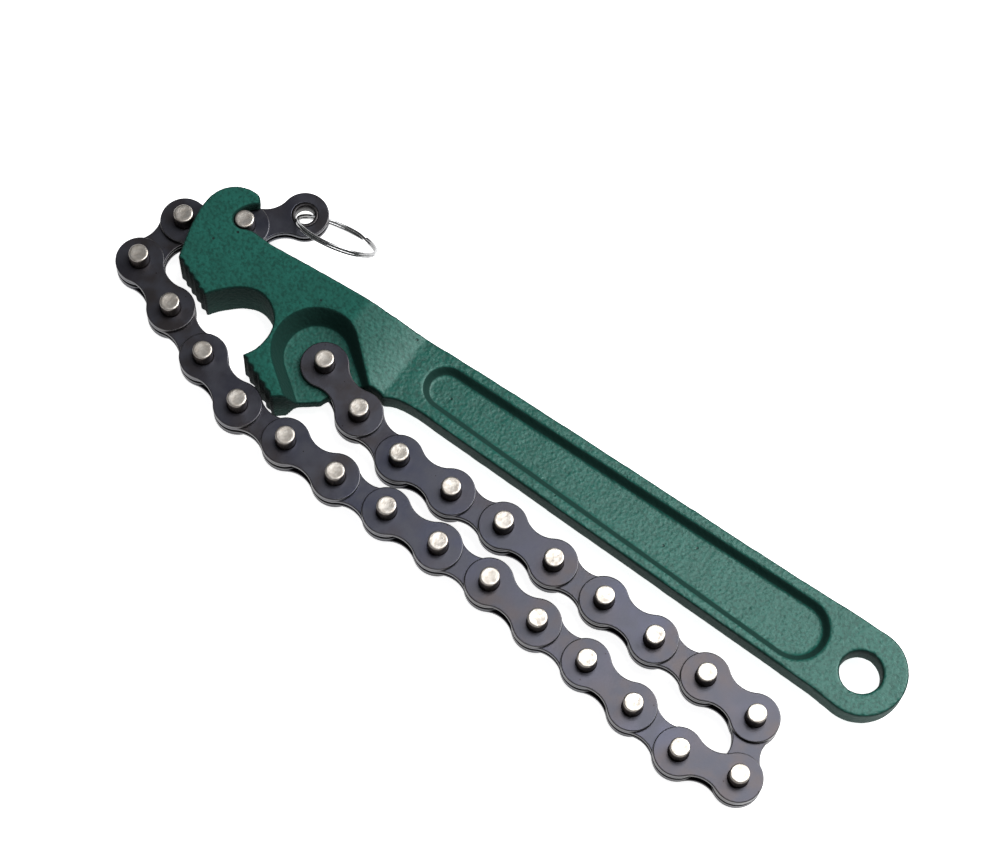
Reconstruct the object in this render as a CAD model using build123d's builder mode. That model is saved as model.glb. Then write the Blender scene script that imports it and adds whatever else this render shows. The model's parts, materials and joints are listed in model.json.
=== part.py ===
from build123d import *
import os
from math import atan2, cos, degrees, radians, sin

# Chain-type oil filter wrench, lying flat.
# The origin is the centre of the hanging hole, halfway through the handle's thickness.
# +X runs along the handle to the hanging end, +Y points to the hook's side, and +Z is the face that shows.

os.makedirs("parts", exist_ok=True)

# ---- Driving dimensions, mm and degrees ----
pitch = 15.875                  # chain pitch, 5/8 inch
pin_r = 2.54                    # pin radius
pin_length = 14.8               # pins stand proud of the plates on both sides
pin_chamfer = 0.35
lobe_r = 6.35                   # round ends of a link plate
waist_half = 3.8                # half the plate's height at its waist
plate_t = 1.15                  # plate thickness
plate_chamfer = 0.2
inner_width = 3.6               # over the two inner plates
side_gap = 0.05                 # play between inner and outer plates
bush_wall = 0.9
bore_r = pin_r + 0.06           # running fit of a bush on its pin

head_t = 15.0                   # thickness of the head
handle_t = 7.0                  # thickness of the handle
web_t = inner_width - 0.1       # web that the first link straddles
end_r = 11.7                    # round end with the hanging hole
end_centre = Vector(0.1, 0.4)
hanging_hole_r = 5.4
hanging_hole_bevel = 0.8

slot_t = 6.6                    # slot in the hook, for the chain
slot_half = 8.6                 # half-width of the slot's lanes
notch_r = 2.85                  # round bottom of the hook's notch
tooth_depth = 0.8

ring_r = 11.0                   # mean radius of the key ring
wire_r = 0.4
ring_tilt = 126.3               # angle of the ring's plane to the table
ring_heading = 8.1              # direction of the ring's plane, seen from above
ring_offset = Vector(10.34, -0.11, 2.14)   # from the last link's hole to the ring's centre

# Where the chain starts, and the direction of each link in turn along the chain.
anchor = Vector(-156.2, -13.0)
headings = [
    -20, -13.5, 1.5, 2, -2, -2, -3.5, -1.5, -5, -71.5, -168.5, 170.5, 171, 175.5, 174,
    180, -179.5, -179, 179, 177.5, 160.5, 159.5, 158, 81, 31, 49.5,
]

# ---- Sizes that follow from them ----
outer_width = inner_width + 2 * side_gap + 2 * plate_t
link_count = len(headings)
pins = [anchor]
for heading in headings:
    step = Vector(pitch * cos(radians(heading)), pitch * sin(radians(heading)))
    pins.append(pins[-1] + step)
hooked_pin = pins[-2]
ring_hole = pins[-1]
half_head = head_t / 2
half_handle = handle_t / 2


def polar(centre, radius, angle):
    return Vector(centre.X + radius * cos(radians(angle)), centre.Y + radius * sin(radians(angle)))


def toothed_line(start, end, count, depth):
    """Points of a serrated face from start to end, its teeth cut in on the left side."""
    along = (end - start) / count
    inward = Vector(-along.Y, along.X).normalized() * depth
    points = [start]
    for i in range(count):
        points.append(start + along * (i + 0.55) + inward)
        points.append(start + along * (i + 1))
    return points


# ---- Handle and head, one casting ----
nose_tip = Vector(-203.3, -12.8)
upper_jaw_end = Vector(-191.7, -17.4)
lower_jaw_start = Vector(-173.9, -24.6)
lower_jaw_end = Vector(-161.2, -29.6)
underside_end = Vector(-138.4, -11.4)
grip_start = Vector(-128.0, -9.2)
grip_end = Vector(-8.0, -10.6)
top_end = Vector(-7.0, 12.0)
lip = Vector(-186.5, 4.3)
lip_nose = Vector(-190.6, 4.5)
beak_inside = Vector(-195.4, 11.6)

with BuildPart() as handle:
    with BuildSketch(Plane.XY) as outline:
        with BuildLine():
            Polyline(toothed_line(nose_tip, upper_jaw_end, 5, tooth_depth))
            Spline(
                upper_jaw_end, (-188.3, -12.8), (-180.2, -8.2), (-173.0, -12.2),
                (-171.6, -18.8), lower_jaw_start,
            )
            Polyline(toothed_line(lower_jaw_start, lower_jaw_end, 5, tooth_depth))
            Line(lower_jaw_end, underside_end)
            Spline(underside_end, grip_start, tangents=((0.78, 0.62), (1, 0)))
            Line(grip_start, grip_end)
            underside_tangent = polar(end_centre, end_r, -100)
            top_tangent = polar(end_centre, end_r, 100)
            Line(grip_end, underside_tangent)
            ThreePointArc(underside_tangent, polar(end_centre, end_r, 0), top_tangent)
            Line(top_tangent, top_end)
            Spline(top_end, (-80.0, 10.05), (-146.5, 7.7), lip)
            notch_low = polar(hooked_pin, notch_r, -60)
            notch_back = polar(hooked_pin, notch_r, 190)
            notch_high = polar(hooked_pin, notch_r + 0.4, 128)
            Line(lip, lip_nose)
            Spline(lip_nose, notch_low, tangents=((-1, 0.25), (-0.9, -0.5)))
            ThreePointArc(notch_low, polar(hooked_pin, notch_r, 245), notch_back)
            Spline(notch_back, notch_high, beak_inside)
            Spline(
                beak_inside, (-197.3, 13.6), (-200.2, 13.5), (-204.6, 11.2),
                (-207.2, 6.0), (-207.1, 0.6), (-205.2, -7.2), nose_tip,
            )
        make_face()
    extrude(amount=half_head, both=True)

    # The casting steps down from the head to the thinner handle over a short ramp.
    ramp_start = -157.2
    ramp_end = -139.3
    for side in (1, -1):
        with BuildSketch(Plane.XZ):
            with BuildLine():
                Polyline(
                    (ramp_start, side * half_head), (ramp_end, side * half_handle),
                    (20, side * half_handle), (20, side * (half_head + 1)),
                    (ramp_start, side * (half_head + 1)), close=True,
                )
            make_face()
        extrude(amount=60, both=True, mode=Mode.SUBTRACT)

    # Long groove in each side of the handle, with sloping walls.
    groove_depth = 2.0
    groove_draft = 40
    groove_left = Vector(-127.2, 0.0)
    groove_right = Vector(-19.4, 0.1)
    groove_left_r = 6.0
    groove_right_r = 8.5
    flare = degrees(atan2(groove_right_r - groove_left_r, groove_right.X - groove_left.X))
    right_top = polar(groove_right, groove_right_r, 90 + flare)
    right_bottom = polar(groove_right, groove_right_r, -90 - flare)
    left_top = polar(groove_left, groove_left_r, 90 + flare)
    left_bottom = polar(groove_left, groove_left_r, -90 - flare)
    with BuildSketch(Plane.XY.offset(half_handle)):
        with BuildLine():
            Line(left_top, right_top)
            ThreePointArc(right_top, polar(groove_right, groove_right_r, 0), right_bottom)
            Line(right_bottom, left_bottom)
            ThreePointArc(left_bottom, polar(groove_left, groove_left_r, 180), left_top)
        make_face()
    groove = extrude(amount=-groove_depth, taper=groove_draft, mode=Mode.PRIVATE)
    add(groove, mode=Mode.SUBTRACT)
    add(groove.mirror(Plane.XY), mode=Mode.SUBTRACT)

    # Arched recess on each face: the first link lies in it and straddles the web.
    recess_depth = half_head - web_t / 2
    recess_centre = anchor + Vector(-3.1, 0.8)
    recess_axis = -36.0
    recess_floor_half = 8.7
    recess_reach = 44.0
    for side in (1, -1):
        with BuildSketch(Plane.XY.offset(side * web_t / 2)):
            with Locations(polar(recess_centre, recess_reach / 2, recess_axis)):
                SlotCenterToCenter(recess_reach, 2 * recess_floor_half, rotation=recess_axis)
        extrude(amount=side * (recess_depth + 0.5), taper=-27, mode=Mode.SUBTRACT)

    # Bore for the anchor pin, and room for the second link's end as the first link swings away.
    swing_clearance = 1.0
    swings = (0, -10, -20)
    with Locations(anchor):
        Cylinder(bore_r, head_t * 2, mode=Mode.SUBTRACT)
    for swing in swings:
        with Locations(polar(anchor, pitch, headings[0] + swing)):
            Cylinder(lobe_r + swing_clearance, head_t * 2, mode=Mode.SUBTRACT)

    # Slot through the hook: one lane to each neighbour of the hooked pin.
    lane_reach = 30.0
    with BuildSketch(Plane.XY.offset(-slot_t / 2)):
        for lane in (headings[24] + 180, headings[25]):
            with Locations(polar(hooked_pin, lane_reach / 2, lane)):
                SlotCenterToCenter(lane_reach, 2 * slot_half, rotation=lane)
    extrude(amount=slot_t, mode=Mode.SUBTRACT)

    # Hanging hole, bevelled on both faces.
    Cylinder(hanging_hole_r, head_t * 2, mode=Mode.SUBTRACT)
    for side in (1, -1):
        with Locations((0, 0, side * (half_handle - hanging_hole_bevel / 2))):
            Cone(
                hanging_hole_r + max(side, 0) * hanging_hole_bevel,
                hanging_hole_r - min(side, 0) * hanging_hole_bevel,
                hanging_hole_bevel, mode=Mode.SUBTRACT,
            )
handle.part.label = "handle"
export_step(handle.part, "parts/handle.step")


# ---- Chain ----
def link_frame(index):
    """Plane at the middle of a link, its x along the link."""
    middle = (pins[index] + pins[index + 1]) * 0.5
    return Plane(
        origin=(middle.X, middle.Y, 0),
        x_dir=(cos(radians(headings[index])), sin(radians(headings[index])), 0),
        z_dir=(0, 0, 1),
    )


def plate_profile(frame, height, hole_radius):
    """Figure-eight link plate: two round lobes joined by a waist of tangent arcs."""
    half = pitch / 2
    waist_r = (waist_half**2 + half**2 - lobe_r**2) / (2 * (lobe_r - waist_half))
    share = lobe_r / (lobe_r + waist_r)
    touch_x = half * (1 - share)
    touch_y = (waist_half + waist_r) * share
    with BuildSketch(frame.offset(height)) as profile:
        Rectangle(2 * touch_x, 2 * touch_y)
        with Locations((0, waist_half + waist_r), (0, -waist_half - waist_r)):
            Circle(waist_r, mode=Mode.SUBTRACT)
        with Locations((-half, 0), (half, 0)):
            Circle(lobe_r)
            Circle(hole_radius, mode=Mode.SUBTRACT)
    return profile.sketch


def link_plates(index, low, hole_radius):
    """Two matching plates, one each side of the chain's middle plane."""
    with BuildPart() as plates:
        for base in (low, -low - plate_t):
            extrude(plate_profile(link_frame(index), base, hole_radius), amount=plate_t)
        levels = plates.faces().filter_by(Axis.Z).group_by(Axis.Z)
        rims = levels[0][0].outer_wire().edges() + levels[-1][0].outer_wire().edges()
        chamfer(rims, plate_chamfer)
    return plates


def link_ends(index):
    return [pins[index], pins[index + 1]]


for index in range(link_count):
    name = f"link_{index + 1:02d}"
    if index % 2 == 0:
        plates = link_plates(index, inner_width / 2 + side_gap, pin_r)
        with BuildPart() as rods:
            with BuildSketch(Plane.XY.offset(-pin_length / 2)):
                with Locations(*link_ends(index)):
                    Circle(pin_r)
            extrude(amount=pin_length)
            ends = rods.edges().filter_by(GeomType.CIRCLE)
            chamfer(ends, pin_chamfer)
        rods.part.label = f"{name}_pins"
    else:
        plates = link_plates(index, inner_width / 2 - plate_t, bore_r + bush_wall)
        with BuildPart() as rods:
            with BuildSketch(Plane.XY.offset(-inner_width / 2)):
                with Locations(*link_ends(index)):
                    Circle(bore_r + bush_wall)
                    Circle(bore_r, mode=Mode.SUBTRACT)
            extrude(amount=inner_width)
        rods.part.label = f"{name}_bushes"
    plates.part.label = f"{name}_plates"
    for piece in (plates, rods):
        export_step(piece.part, f"parts/{piece.part.label}.step")


# ---- Key ring: two turns of wire side by side, through the last link's bush ----
lean = Vector(cos(radians(ring_heading)), sin(radians(ring_heading)), 0)
across = Vector(-lean.Y, lean.X, 0)
rising = across * cos(radians(ring_tilt)) + Vector(0, 0, sin(radians(ring_tilt)))
ring_normal = lean.cross(rising)
ring_centre = Vector(ring_hole.X, ring_hole.Y, 0) + ring_offset
with BuildPart() as key_ring:
    with BuildSketch(Plane(origin=ring_centre, x_dir=lean, z_dir=rising)):
        with Locations((ring_r, -0.9 * wire_r), (ring_r, 0.9 * wire_r)):
            Circle(wire_r)
    revolve(axis=Axis(ring_centre, ring_normal))
key_ring.part.label = "key_ring"
export_step(key_ring.part, "parts/key_ring.step")
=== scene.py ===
"""Chain-type oil filter wrench lying flat: the looks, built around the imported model."""
import json
import math

import bmesh
import bpy
from mathutils import Matrix, Vector, noise

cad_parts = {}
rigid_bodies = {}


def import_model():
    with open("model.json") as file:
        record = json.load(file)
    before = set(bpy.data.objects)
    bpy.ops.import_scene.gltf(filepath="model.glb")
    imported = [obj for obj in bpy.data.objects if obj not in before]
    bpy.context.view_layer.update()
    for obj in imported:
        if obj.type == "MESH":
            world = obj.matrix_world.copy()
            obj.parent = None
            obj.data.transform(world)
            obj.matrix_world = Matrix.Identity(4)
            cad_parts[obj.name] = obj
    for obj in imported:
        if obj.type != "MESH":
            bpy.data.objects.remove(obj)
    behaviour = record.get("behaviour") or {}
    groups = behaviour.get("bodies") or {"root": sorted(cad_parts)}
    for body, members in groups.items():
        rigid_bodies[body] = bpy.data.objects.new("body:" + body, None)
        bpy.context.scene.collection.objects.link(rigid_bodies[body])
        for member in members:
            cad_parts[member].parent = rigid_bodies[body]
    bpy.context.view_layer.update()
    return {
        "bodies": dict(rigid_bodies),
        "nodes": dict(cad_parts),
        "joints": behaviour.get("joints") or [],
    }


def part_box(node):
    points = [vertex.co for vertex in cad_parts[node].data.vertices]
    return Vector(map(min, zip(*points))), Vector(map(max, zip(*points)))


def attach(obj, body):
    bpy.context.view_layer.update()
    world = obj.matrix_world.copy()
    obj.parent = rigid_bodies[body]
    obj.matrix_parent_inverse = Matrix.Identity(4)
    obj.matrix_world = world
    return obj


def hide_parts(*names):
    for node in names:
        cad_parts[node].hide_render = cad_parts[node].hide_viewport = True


MM = 0.001
COLOR_A, COLOR_B, COLOR_RESULT = 6, 7, 2    # a Mix node's sockets for colours
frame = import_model()

hinge_at = {joint["name"]: Vector(joint["pos_m"]) for joint in frame["joints"]}
LINK_COUNT = sum(1 for name in frame["bodies"] if name.startswith("link_"))
pins = [hinge_at[f"pin_{k:02d}_hinge"] for k in range(1, LINK_COUNT + 1)]
pins.append(hinge_at["key_ring_swivel"])

# ---------------------------------------------------------------- dimensions
PIN_R = 2.54 * MM
LOBE_R = 6.35 * MM
WAIST_HALF = 3.8 * MM
PLATE_T = 1.15 * MM
BORE_R = 2.6 * MM
BUSH_R = 3.5 * MM
PIN_HAIRLINE = 0.07 * MM        # gap seen round a pin in its plate
BUSH_HAIRLINE = 0.02 * MM       # gap seen round a bush in its plate
WELD = 0.001 * MM               # vertices closer than this become one
TABLE_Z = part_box("handle")[0].z
OUTER_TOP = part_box("link_01_plates")[1].z
INNER_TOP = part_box("link_02_plates")[1].z
PIN_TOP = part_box("link_01_pins")[1].z


# ---------------------------------------------------------------- node helpers
class Material:
    """A node material under construction, with short calls for the nodes used here."""

    def __init__(self, name):
        self.material = bpy.data.materials.new(name)
        self.material.use_nodes = True
        self.nodes = self.material.node_tree.nodes
        self.links = self.material.node_tree.links
        self.shader = self.nodes["Principled BSDF"]
        self.position = self.nodes.new("ShaderNodeTexCoord").outputs["Object"]

    def join(self, source, target):
        self.links.new(source, target)

    def noise(self, size_mm, detail=2.0, vector=None):
        node = self.nodes.new("ShaderNodeTexNoise")
        node.inputs["Scale"].default_value = 1000 / size_mm
        node.inputs["Detail"].default_value = detail
        self.join(vector or self.position, node.inputs["Vector"])
        return node.outputs["Fac"]

    def cells(self, size_mm, smoothness=None):
        """Distance to the nearest cell point: blended between cells if smoothness is given."""
        node = self.nodes.new("ShaderNodeTexVoronoi")
        node.feature = "F1" if smoothness is None else "SMOOTH_F1"
        node.inputs["Scale"].default_value = 1000 / size_mm
        if smoothness is not None:
            node.inputs["Smoothness"].default_value = smoothness
        self.join(self.position, node.inputs["Vector"])
        return node.outputs["Distance"]

    def remap(self, value, low, high, to_low=0.0, to_high=1.0):
        node = self.nodes.new("ShaderNodeMapRange")
        node.interpolation_type = "SMOOTHSTEP"
        for key, number in zip(
            ("From Min", "From Max", "To Min", "To Max"), (low, high, to_low, to_high)
        ):
            node.inputs[key].default_value = number
        self.join(value, node.inputs["Value"])
        return node.outputs["Result"]

    def math(self, operation, first, second):
        node = self.nodes.new("ShaderNodeMath")
        node.operation = operation
        for socket, item in zip(node.inputs, (first, second)):
            if isinstance(item, (int, float)):
                socket.default_value = item
            else:
                self.join(item, socket)
        return node.outputs["Value"]

    def mix(self, factor, first, second):
        node = self.nodes.new("ShaderNodeMix")
        node.data_type = "RGBA"
        self.join(factor, node.inputs["Factor"])
        for socket, item in zip((node.inputs[COLOR_A], node.inputs[COLOR_B]), (first, second)):
            if isinstance(item, tuple):
                socket.default_value = (*item, 1)
            else:
                self.join(item, socket)
        return node.outputs[COLOR_RESULT]

    def attribute(self, name):
        node = self.nodes.new("ShaderNodeAttribute")
        node.attribute_name = name
        return node.outputs["Fac"]

    def stretched(self, scale):
        node = self.nodes.new("ShaderNodeMapping")
        node.inputs["Scale"].default_value = scale
        self.join(self.position, node.inputs["Vector"])
        return node.outputs["Vector"]

    def bump(self, height, depth_mm, normal=None):
        node = self.nodes.new("ShaderNodeBump")
        node.inputs["Strength"].default_value = 1.0
        node.inputs["Distance"].default_value = depth_mm * MM
        self.join(height, node.inputs["Height"])
        if normal is not None:
            self.join(normal, node.inputs["Normal"])
        return node.outputs["Normal"]

    def finish(self, color, roughness, normal=None, metallic=0.0, specular=0.5):
        self.join(color, self.shader.inputs["Base Color"])
        self.join(roughness, self.shader.inputs["Roughness"])
        if normal is not None:
            self.join(normal, self.shader.inputs["Normal"])
        self.shader.inputs["Metallic"].default_value = metallic
        self.shader.inputs["Specular IOR Level"].default_value = specular
        return self.material


def paint_material():
    """Thick dark green enamel over a sand casting: pebbled on the head, smoother on the handle."""
    enamel = (0.0024, 0.062, 0.0460)
    light_enamel = (0.0030, 0.072, 0.0540)
    # painted shade: a darker green for the dips of the rippled skin
    hollow_shade = (0.0014, 0.038, 0.0280)
    pit = (0.0010, 0.006, 0.005)
    # painted shade: a darker green for steep walls, which get little light
    wall = (0.0002, 0.0190, 0.0140)
    bare_iron = (0.0025, 0.0040, 0.0045)
    m = Material("green_casting_paint")
    pebbles = m.cells(0.95, 0.8)
    ripple = m.noise(0.80, 3.0)
    grain = m.noise(0.26, 2.0)
    waves = m.noise(6.0, 2.0)
    height = m.math("ADD", m.math("MULTIPLY", pebbles, 0.8), m.math("MULTIPLY", ripple, 0.8))
    height = m.math("ADD", height, m.math("MULTIPLY", grain, 0.16))
    height = m.math("MULTIPLY", height, m.remap(m.attribute("pebbled"), 0, 1, 0.5, 1.0))
    pits = m.remap(m.cells(6.0), 0.035, 0.080)
    normal = m.bump(height, 0.17)
    normal = m.bump(m.math("ADD", m.math("MULTIPLY", waves, 0.6), pits), 0.08, normal)
    color = m.mix(m.remap(waves, 0.35, 0.65), enamel, light_enamel)
    # painted shade: the dips of the ripple are painted darker
    color = m.mix(m.remap(ripple, 0.30, 0.60), hollow_shade, color)
    color = m.mix(pits, pit, color)
    # painted shade: steep walls are painted darker
    steep = m.remap(m.attribute("slope"), 0.04, 0.20)
    color = m.mix(steep, color, wall)
    color = m.mix(m.attribute("bare"), color, bare_iron)
    roughness = m.remap(ripple, 0.3, 0.7, 0.40, 0.33)
    roughness = m.math("ADD", roughness, m.math("MULTIPLY", m.attribute("pebbled"), 0.26))
    roughness = m.math("ADD", roughness, m.math("MULTIPLY", steep, 0.45))
    roughness = m.math("ADD", roughness, m.math("MULTIPLY", m.attribute("matt"), 0.24))
    m.shader.inputs["Specular Tint"].default_value = (0.70, 1.0, 0.93, 1)
    return m.finish(color, roughness, normal, specular=0.44)


def plate_material():
    """Oil-blackened steel strip: brown to blue-violet tint, lighter on the rounded face edges from
    wear and a painted highlight.
    """
    brown = (0.043, 0.038, 0.040)
    violet = (0.038, 0.040, 0.056)
    grey = (0.047, 0.048, 0.059)
    pit = (0.014, 0.010, 0.009)
    edge_wear_highlight = (0.085, 0.082, 0.082)
    m = Material("blackened_steel_plate")
    patches = m.noise(26.0, 2.0)
    clouds = m.noise(5.0, 3.0)
    fine = m.noise(0.5, 2.0)
    lines = m.noise(1.0, 2.0, vector=m.stretched((0.25, 1.6, 1.0)))
    specks = m.remap(m.cells(3.4), 0.03, 0.07)
    color = m.mix(m.remap(patches, 0.38, 0.62), brown, violet)
    color = m.mix(m.remap(clouds, 0.30, 0.70), color, grey)
    color = m.mix(specks, pit, color)
    # wear and a painted highlight: the rolled edges of the showing faces are lighter
    color = m.mix(m.attribute("edge"), color, edge_wear_highlight)
    roughness = m.remap(clouds, 0.3, 0.7, 0.30, 0.37)
    height = m.math("ADD", fine, m.math("MULTIPLY", lines, 0.7))
    return m.finish(color, roughness, m.bump(height, 0.012), metallic=0.9)


def pin_material():
    """Sheared and tumbled bar: pale warm ends with a faint scuff, and painted shade on the sides.
    """
    steel, pale_steel = (0.34, 0.31, 0.275), (0.46, 0.435, 0.40)
    side_shade = (0.10, 0.085, 0.078)
    m = Material("bare_steel_pin")
    scuff = m.noise(1.1, 3.0)
    fine = m.noise(0.35, 2.0)
    color = m.mix(m.remap(scuff, 0.35, 0.65), steel, pale_steel)
    # painted shade: the pin's side and the rim of its end are darker
    color = m.mix(m.attribute("edge"), color, side_shade)
    roughness = m.remap(scuff, 0.3, 0.7, 0.40, 0.32)
    height = m.math("ADD", m.math("MULTIPLY", scuff, 1.4), fine)
    return m.finish(color, roughness, m.bump(height, 0.03), metallic=1.0)


def bush_material():
    """Drawn dark steel tube."""
    dark, light = (0.026, 0.024, 0.025), (0.040, 0.038, 0.040)
    m = Material("dark_steel_bush")
    fine = m.noise(0.5, 2.0)
    color = m.mix(m.remap(fine, 0.35, 0.65), dark, light)
    roughness = m.remap(fine, 0.3, 0.7, 0.36, 0.46)
    return m.finish(color, roughness, m.bump(fine, 0.015), metallic=1.0)


def ring_material():
    """Nickel-plated spring wire, dulled to a mid grey."""
    dark, light = (0.20, 0.20, 0.205), (0.32, 0.32, 0.32)
    m = Material("nickel_wire")
    fine = m.noise(0.8, 2.0)
    color = m.mix(m.remap(fine, 0.3, 0.7), dark, light)
    roughness = m.remap(fine, 0.3, 0.7, 0.16, 0.26)
    return m.finish(color, roughness, m.bump(fine, 0.006), metallic=1.0)


PAINT = paint_material()
PLATE = plate_material()
PIN = pin_material()
BUSH = bush_material()
RING = ring_material()


# ---------------------------------------------------------------- piece helpers
def add_piece(name, mesh, material, body, slot, *nodes):
    """Makes a piece of a mesh already in place: it replaces CAD nodes and rides on a body."""
    piece = bpy.data.objects.new(name, mesh)
    bpy.context.scene.collection.objects.link(piece)
    mesh.materials.clear()
    mesh.materials.append(material)
    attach(piece, body)
    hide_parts(*nodes)


def smooth_mesh(bm, name):
    bmesh.ops.recalc_face_normals(bm, faces=bm.faces)
    mesh = bpy.data.meshes.new(name)
    bm.to_mesh(mesh)
    bm.free()
    mesh.shade_smooth()
    return mesh


def evaluated(obj):
    """The mesh that an object's modifiers give, as a new mesh."""
    bpy.context.view_layer.update()
    graph = bpy.context.evaluated_depsgraph_get()
    return bpy.data.meshes.new_from_object(obj.evaluated_get(graph))


# ---------------------------------------------------------------- the casting
VOXEL = 0.42 * MM
SOFTEN_FACTOR = 0.5
SOFTEN_PASSES = 5
SKIN_WAVES = ((0.045, 3.2), (0.03, 1.3))    # uneven skin: (height, length) in millimetres
JAWS = (
    (Vector((-203.3, -12.8)) * MM, Vector((-191.7, -17.4)) * MM),
    (Vector((-173.9, -24.6)) * MM, Vector((-161.2, -29.6)) * MM),
)
JAW_BAND = 0.95 * MM            # how far from a jaw's line its bare teeth reach
JAW_FADE = 0.3 * MM
HEAD_END = -140.0 * MM          # where the ramp meets the handle
PEBBLE_FADE = 12 * MM           # the pebbled skin fades out over this length of the ramp
HEAD_FACE_FADE = 0.4 * MM       # the head's flat faces are matt down to this depth


def clamped(value):
    return max(0.0, min(1.0, value))


def distance_to_segment(point, start, end):
    along = end - start
    share = clamped((point - start).dot(along) / along.length_squared)
    return (point - start - along * share).length


def build_casting():
    """The CAD casting with its edges rounded over and the uneven skin of a sand casting."""
    rough = bpy.data.objects.new("casting_blank", frame["nodes"]["handle"].data.copy())
    bpy.context.scene.collection.objects.link(rough)
    bm = bmesh.new()
    bm.from_mesh(rough.data)
    bmesh.ops.remove_doubles(bm, verts=bm.verts, dist=WELD)
    bm.to_mesh(rough.data)
    bm.free()
    remesh = rough.modifiers.new("remesh", "REMESH")
    remesh.mode = "VOXEL"
    remesh.voxel_size = VOXEL
    soften = rough.modifiers.new("soften", "SMOOTH")
    soften.factor = SOFTEN_FACTOR
    soften.iterations = SOFTEN_PASSES
    mesh = evaluated(rough)
    bpy.data.objects.remove(rough)

    names = ("bare", "slope", "pebbled", "matt")
    for name in names:
        mesh.attributes.new(name, "FLOAT", "POINT")
    layers = [mesh.attributes[name].data for name in names]
    normals = [vertex.normal.copy() for vertex in mesh.vertices]
    for vertex, normal in zip(mesh.vertices, normals):
        p = vertex.co
        lift = sum(height * noise.noise(p / (length * MM)) for height, length in SKIN_WAVES)
        steepness = 1 - abs(normal.z)
        to_jaw = min(distance_to_segment(p.xy, *jaw) for jaw in JAWS)
        values = (
            clamped((JAW_BAND - to_jaw) / JAW_FADE) * steepness,
            steepness,
            clamped((HEAD_END - p.x) / PEBBLE_FADE),
            clamped((abs(p.z) + TABLE_Z) / HEAD_FACE_FADE + 1),
        )
        for layer, value in zip(layers, values):
            layer[vertex.index].value = value
        vertex.co = p + normal * lift * MM
    mesh.shade_smooth()
    return mesh


add_piece("casting", build_casting(), PAINT, "handle", "painted_casting", "handle")


# ---------------------------------------------------------------- chain
PITCH = (pins[1] - pins[0]).length
HALF = PITCH / 2
WAIST_R = (WAIST_HALF**2 + HALF**2 - LOBE_R**2) / (2 * (LOBE_R - WAIST_HALF))
TURN = math.atan2(WAIST_HALF + WAIST_R, -HALF)
LOBE_STEPS = 40
WAIST_STEPS = 12
HOLE_STEPS = 40
ROD_STEPS = 40
FACE_ROUND = 0.24 * MM          # rolled edge on the showing side
BACK_ROUND = 0.10 * MM
FLAT_MARGIN = 0.12 * MM         # flat strip inside each rounded edge, so that the faces shade flat
BUSH_BEVEL = 0.12 * MM


def arc(centre_x, centre_y, radius, start, end, steps):
    return [
        Vector((
            centre_x + radius * math.cos(start + (end - start) * i / steps),
            centre_y + radius * math.sin(start + (end - start) * i / steps),
            0,
        ))
        for i in range(steps)
    ]


def plate_outline(inset):
    """Figure-eight outline moved inwards by inset, always with the same number of points."""
    lobe = LOBE_R - inset
    waist = WAIST_R + inset
    rise = WAIST_HALF + WAIST_R
    return (
        arc(HALF, 0, lobe, -TURN, TURN, LOBE_STEPS)
        + arc(0, rise, waist, TURN - math.pi, -TURN, WAIST_STEPS)
        + arc(-HALF, 0, lobe, math.pi - TURN, math.pi + TURN, LOBE_STEPS)
        + arc(0, -rise, waist, TURN, math.pi - TURN, WAIST_STEPS)
    )


def rounded_profile(low, high, low_round, high_round, steps=3):
    """(inset, height, edge wear and painted highlight) down a plate's edge, from its upper face to
    its lower face.
    """
    profile = [(high_round + FLAT_MARGIN, high, 0.0)]
    for i in range(steps + 1):
        a = math.pi / 2 * i / steps
        inset = high_round * (1 - math.sin(a))
        # the third value peaks half way round the rolled edge: wear and a painted highlight there
        wear_and_painted_light = math.sin(math.pi * i / steps)
        profile.append((inset, high - high_round * (1 - math.cos(a)), wear_and_painted_light))
    for i in range(steps + 1):
        a = math.pi / 2 * (1 - i / steps)
        inset = low_round * (1 - math.sin(a))
        profile.append((inset, low + low_round * (1 - math.cos(a)), 0.0))
    profile.append((low_round + FLAT_MARGIN, low, 0.0))
    return profile


def stack(bm, edge_layer, place, loops):
    """Joins closed loops, given as (points, height, edge wear and painted light), into a wall.
    Returns its end edges.
    """
    rows = []
    for points, height, wear_and_painted_light in loops:
        row = []
        for p in points:
            vertex = bm.verts.new(place @ Vector((p.x, p.y, height)))
            vertex[edge_layer] = wear_and_painted_light
            row.append(vertex)
        rows.append(row)
    count = len(rows[0])
    for upper, lower in zip(rows, rows[1:]):
        for i in range(count):
            j = (i + 1) % count
            bm.faces.new((upper[i], upper[j], lower[j], lower[i]))
    ends = []
    for row in (rows[0], rows[-1]):
        ends.append([bm.edges.get((row[i], row[(i + 1) % count])) for i in range(count)])
    return ends


def add_plate(bm, edge_layer, place, low, high, low_round, high_round, hole_r):
    profile = rounded_profile(low, high, low_round, high_round)
    loops = [(plate_outline(inset), z, wear_and_painted_light) for inset, z, wear_and_painted_light in profile]
    outer = stack(bm, edge_layer, place, loops)
    rims = [list(outer[0]), list(outer[1])]
    hole_profile = rounded_profile(low, high, BACK_ROUND, BACK_ROUND, steps=2)
    for centre_x in (-HALF, HALF):
        loops = [
            (arc(centre_x, 0, hole_r + inset, 0, -2 * math.pi, HOLE_STEPS), z, 0.0)
            for inset, z, _ in hole_profile
        ]
        hole = stack(bm, edge_layer, place, loops)
        rims[0] += hole[0]
        rims[1] += hole[1]
    for rim in rims:
        bmesh.ops.triangle_fill(bm, edges=rim, use_beauty=True, use_dissolve=False)


def link_place(index):
    a, b = pins[index], pins[index + 1]
    along = (b - a).normalized()
    side = Vector((-along.y, along.x, 0))
    turn = Matrix((along, side, Vector((0, 0, 1)))).transposed().to_4x4()
    return Matrix.Translation((a + b) / 2) @ turn


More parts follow.
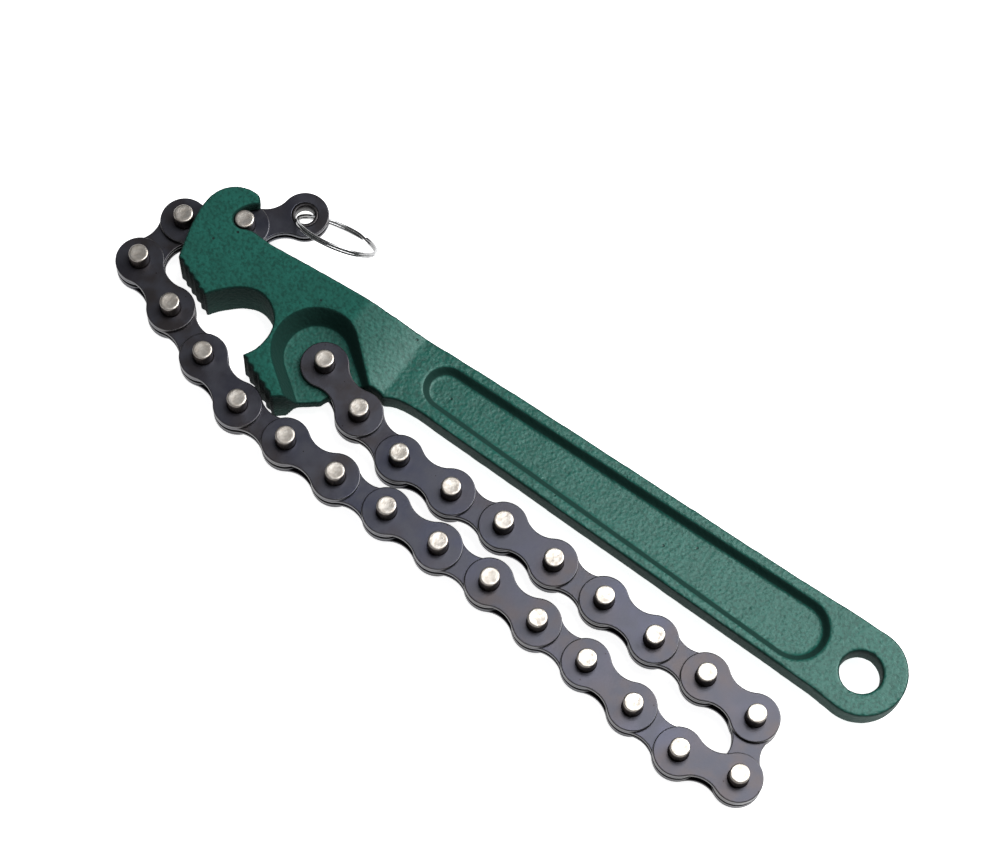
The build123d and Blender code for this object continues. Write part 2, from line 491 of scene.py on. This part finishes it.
def build_plates(index, top, hole_r):
    bm = bmesh.new()
    edge_layer = bm.verts.layers.float.new("edge")
    place = link_place(index)
    add_plate(bm, edge_layer, place, top - PLATE_T, top, BACK_ROUND, FACE_ROUND, hole_r)
    add_plate(bm, edge_layer, place, -top, PLATE_T - top, FACE_ROUND, BACK_ROUND, hole_r)
    return smooth_mesh(bm, "plates")


def lathe(bm, edge_layer, centre, profile, steps):
    """Turns a profile of (radius, height, edge wear and painted light) about the upright axis
    through centre.

    A radius of 0 gives a single point on the axis.
    """
    rows = []
    for radius, height, wear_and_painted_light in profile:
        count = 1 if radius == 0 else steps
        row = []
        for i in range(count):
            a = 2 * math.pi * i / steps
            offset = Vector((radius * math.cos(a), radius * math.sin(a), height))
            vertex = bm.verts.new(centre + offset)
            vertex[edge_layer] = wear_and_painted_light
            row.append(vertex)
        rows.append(row)
    for upper, lower in zip(rows, rows[1:]):
        for i in range(steps):
            j = (i + 1) % steps
            corners = [upper[i % len(upper)], upper[j % len(upper)]]
            corners += [lower[j % len(lower)], lower[i % len(lower)]]
            bm.faces.new(list(dict.fromkeys(corners)))


# A pin's end, from its slightly dished middle to its side: (radius, depth) in millimetres,
# and how much painted shade darkens the steel there, 0 to 1.
PIN_END = (
    (0, 0.06, 0), (0.7, 0.055, 0), (1.3, 0.03, 0), (1.8, 0, 0), (2.1, 0, 0),
    (2.28, 0.02, 0), (2.42, 0.09, 0.1), (2.51, 0.22, 0.6), (PIN_R / MM, 0.45, 1),
)
PIN_COLLAR = 0.2 * MM           # a ring of points this far above the plate


def pin_profile(top):
    """Half a pin, from the middle of its end down to half its length."""
    # the third value is how much painted shade darkens the pin; its side is fully shaded
    end = [(radius * MM, top - depth * MM, dark) for radius, depth, dark in PIN_END]
    return end + [(PIN_R, OUTER_TOP + PIN_COLLAR, 1), (PIN_R, 0, 1)]


def build_pins(index):
    bm = bmesh.new()
    edge_layer = bm.verts.layers.float.new("edge")
    half = pin_profile(PIN_TOP)
    profile = half + [(r, -z, dark) for r, z, dark in reversed(half[:-1])]
    for centre in (pins[index], pins[index + 1]):
        lathe(bm, edge_layer, centre, profile, ROD_STEPS)
    return smooth_mesh(bm, "pins")


def build_bushes(index):
    bm = bmesh.new()
    edge_layer = bm.verts.layers.float.new("edge")
    profile = [
        (BORE_R, INNER_TOP - BUSH_BEVEL), (BORE_R + BUSH_BEVEL, INNER_TOP),
        (BUSH_R - BUSH_BEVEL, INNER_TOP), (BUSH_R, INNER_TOP - BUSH_BEVEL),
    ]
    profile += [(r, -z) for r, z in reversed(profile)]
    profile.append(profile[0])
    for centre in (pins[index], pins[index + 1]):
        lathe(bm, edge_layer, centre, [(r, z, 0) for r, z in profile], ROD_STEPS)
    bmesh.ops.remove_doubles(bm, verts=bm.verts, dist=WELD)
    return smooth_mesh(bm, "bushes")


for index in range(LINK_COUNT):
    name = f"link_{index + 1:02d}"
    if index % 2 == 0:
        plates = build_plates(index, OUTER_TOP, PIN_R + PIN_HAIRLINE)
        add_piece(f"{name}_outer", plates, PLATE, name, "chain_plates", f"{name}_plates")
        add_piece(f"{name}_pin_pair", build_pins(index), PIN, name, "chain_pins", f"{name}_pins")
    else:
        plates = build_plates(index, INNER_TOP, BUSH_R + BUSH_HAIRLINE)
        add_piece(f"{name}_inner", plates, PLATE, name, "chain_plates", f"{name}_plates")
        bushes = build_bushes(index)
        add_piece(f"{name}_bush_pair", bushes, BUSH, name, "chain_bushes", f"{name}_bushes")


# ---------------------------------------------------------------- key ring
RING_R = 11.0 * MM              # to the middle of the wire
WIRE_R = 0.4 * MM
WIRE_RESOLUTION = 4
RING_TILT = math.radians(126.3)
RING_HEADING = math.radians(8.1)
SPLIT_AT = math.radians(-62)    # where the two ends of the wire lie
END_GAP = math.radians(3)       # each end stops this short of it
CROSSOVER = math.radians(34)    # turn over which the wire steps from one coil to the other
COIL_OFFSET = 0.9 * WIRE_R      # each coil's distance from the middle plane
RING_STEPS = 220


def build_ring():
    """Spring wire wound twice, its ends cut flat beside each other."""
    lean = Vector((math.cos(RING_HEADING), math.sin(RING_HEADING), 0))
    across = Vector((-lean.y, lean.x, 0))
    rising = across * math.cos(RING_TILT) + Vector((0, 0, math.sin(RING_TILT)))
    axis = lean.cross(rising)
    low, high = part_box("key_ring")
    centre = (low + high) / 2
    curve = bpy.data.curves.new("ring_wire", "CURVE")
    curve.dimensions = "3D"
    curve.bevel_depth = WIRE_R
    curve.bevel_resolution = WIRE_RESOLUTION
    curve.use_fill_caps = True
    spline = curve.splines.new("POLY")
    spline.points.add(RING_STEPS)
    for i in range(RING_STEPS + 1):
        turned = END_GAP + (4 * math.pi - 2 * END_GAP) * i / RING_STEPS
        crossed = clamped((turned - 2 * math.pi) / CROSSOVER + 0.5)
        crossed = crossed * crossed * (3 - 2 * crossed)
        angle = SPLIT_AT + turned
        radial = lean * math.cos(angle) + rising * math.sin(angle)
        point = centre + radial * RING_R + axis * (crossed * 2 - 1) * COIL_OFFSET
        spline.points[i].co = (*point, 1)
    blank = bpy.data.objects.new("ring_blank", curve)
    bpy.context.scene.collection.objects.link(blank)
    mesh = evaluated(blank)
    bpy.data.objects.remove(blank)
    mesh.shade_smooth()
    return mesh


add_piece("key_ring_wire", build_ring(), RING, "key_ring", "key_ring", "key_ring")


# ---------------------------------------------------------------- stage, light and camera
FLOOR_REACH = 3.0
FLOOR_COLOR = (0.93, 0.93, 0.93, 1)
FLOOR_DROP = 0.02 * MM          # just under the lowest face, so that the two don't flicker
FLOOR_GLOW = 0.90               # washes the shadows out to the white of a cut-out picture


def build_floor():
    mesh = bpy.data.meshes.new("floor")
    corners = [(-1, -1), (1, -1), (1, 1), (-1, 1)]
    z = TABLE_Z - FLOOR_DROP
    points = [(x * FLOOR_REACH, y * FLOOR_REACH, z) for x, y in corners]
    mesh.from_pydata(points, [], [(0, 1, 2, 3)])
    material = bpy.data.materials.new("pale_floor")
    material.use_nodes = True
    shader = material.node_tree.nodes["Principled BSDF"]
    shader.inputs["Base Color"].default_value = FLOOR_COLOR
    shader.inputs["Emission Color"].default_value = (1, 1, 1, 1)
    shader.inputs["Emission Strength"].default_value = FLOOR_GLOW
    shader.inputs["Roughness"].default_value = 1.0
    shader.inputs["Specular IOR Level"].default_value = 0.0
    mesh.materials.append(material)
    floor = bpy.data.objects.new("floor", mesh)
    bpy.context.scene.collection.objects.link(floor)


def face_towards(location, target, up_hint):
    """World matrix for a light or camera at location, looking at target."""
    back = (location - target).normalized()
    right = up_hint.cross(back).normalized()
    up = back.cross(right)
    turn = Matrix((right, up, back)).transposed().to_4x4()
    return Matrix.Translation(location) @ turn


OBJECT_MIDDLE = Vector((-0.10, -0.015, 0))
UP = Vector((0, 0, 1))
WORLD_COLOR = (0.97, 0.98, 1.0, 1)
WORLD_STRENGTH = 0.20


def add_area_light(name, location, size, power):
    """A rectangular softbox aimed at the object; metres and watts."""
    light = bpy.data.lights.new(name, "AREA")
    light.shape = "RECTANGLE"
    light.size, light.size_y = size
    light.energy = power
    lamp = bpy.data.objects.new(name, light)
    bpy.context.scene.collection.objects.link(lamp)
    lamp.matrix_world = face_towards(Vector(location), OBJECT_MIDDLE, UP)


build_floor()
add_area_light("key_softbox", (-0.05, 0.155, 0.78), (0.33, 0.25), 2.25)
add_area_light("back_softbox", (0.35, 0.75, 0.90), (0.80, 0.80), 20.0)

world = bpy.data.worlds.new("studio")
bpy.context.scene.world = world
world.use_nodes = True
background = world.node_tree.nodes["Background"]
background.inputs["Color"].default_value = WORLD_COLOR
background.inputs["Strength"].default_value = WORLD_STRENGTH

LENS_MM = 108
SENSOR_MM = 36
CAMERA_AT = Vector((25.0, -227.5, 719.8)) * MM
CAMERA_AIM = Vector((-109.0, -2.0, 7.4)) * MM
CAMERA_UP = Vector((-0.582, 0.813, 0))
camera_data = bpy.data.cameras.new("camera")
camera_data.lens = LENS_MM
camera_data.sensor_width = SENSOR_MM
camera = bpy.data.objects.new("camera", camera_data)
bpy.context.scene.collection.objects.link(camera)
camera.matrix_world = face_towards(CAMERA_AT, CAMERA_AIM, CAMERA_UP)
bpy.context.scene.camera = camera
bpy.context.scene.view_settings.view_transform = "Standard"
